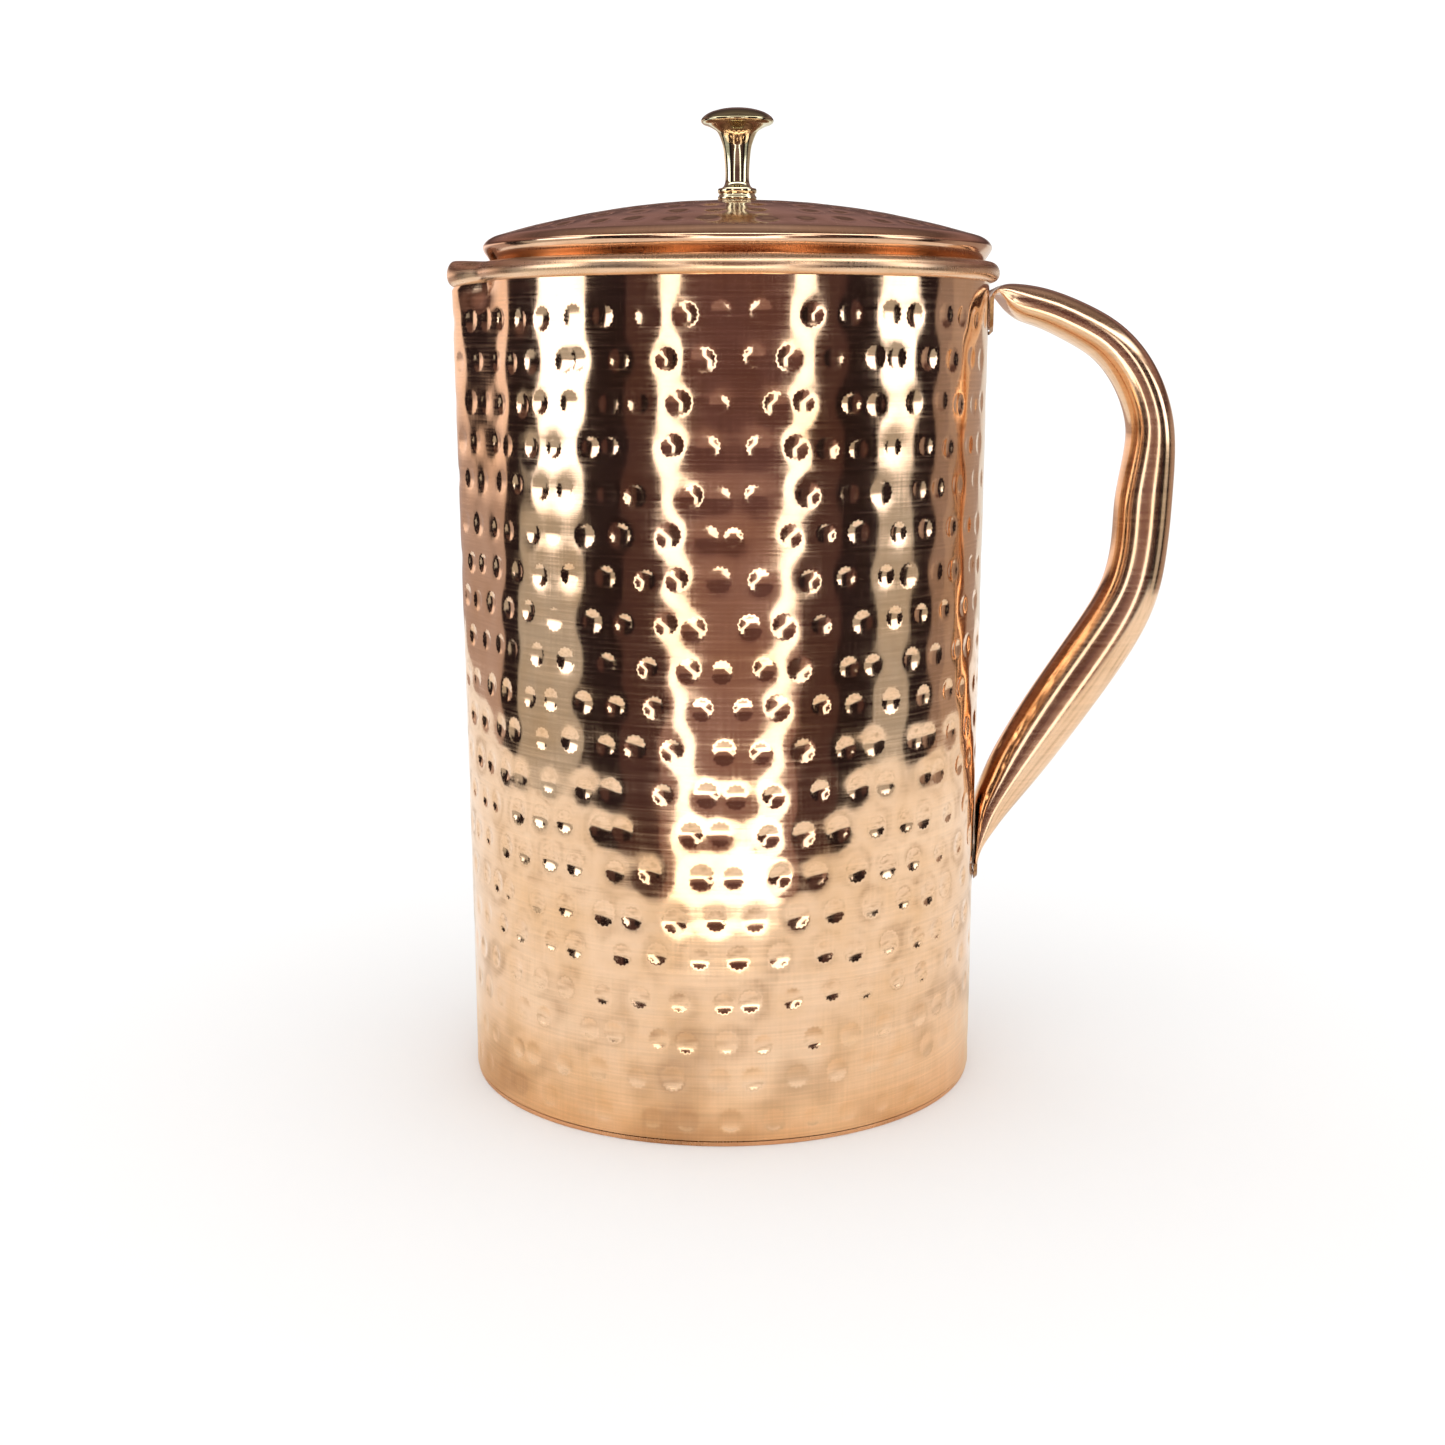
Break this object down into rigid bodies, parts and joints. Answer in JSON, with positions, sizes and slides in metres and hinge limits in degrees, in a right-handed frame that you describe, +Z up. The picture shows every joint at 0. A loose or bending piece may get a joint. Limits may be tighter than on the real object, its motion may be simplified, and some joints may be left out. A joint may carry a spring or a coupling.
{
  "type": "water jug",
  "caption": "Tall hammered copper water jug with a pouring lip, a tubular side handle and a lift-off domed lid with a brass knob.",
  "frame": {"origin": "middle of the flat base, on the surface the jug stands on", "axes": "+Z up, the pouring lip towards -X, the handle towards +X, +Y across"},
  "size_m": [0.166, 0.118, 0.22],
  "materials": {
    "copper_polished": "polished copper, hammered with small round dimples, with fine brushing marks",
    "copper_inner": "plain copper, satin, not hammered",
    "brass_turned": "turned brass, polished bright",
    "brazing_metal": "brazing metal, dull",
    "steel_plain": "plain steel, bright zinc"
  },
  "bodies": {
    "jug": {"body_shell": "copper_polished", "rim_wire": "steel_plain", "base_plate": "copper_inner", "base_braze": "brazing_metal", "handle_tube": "copper_polished", "handle_braze_upper": "brazing_metal", "handle_braze_lower": "brazing_metal"},
    "lid": {"lid_dome": "copper_polished", "lid_collar": "copper_inner", "lid_collar_braze": "brazing_metal", "knob": "brass_turned", "knob_washer": "steel_plain", "knob_screw": "steel_plain"}
  },
  "joints": [
    {"name": "lid_lift", "type": "slide", "parent": "jug", "child": "lid", "axis": [0, 0, 1], "range_m": [0, 0.08]}
  ]
}
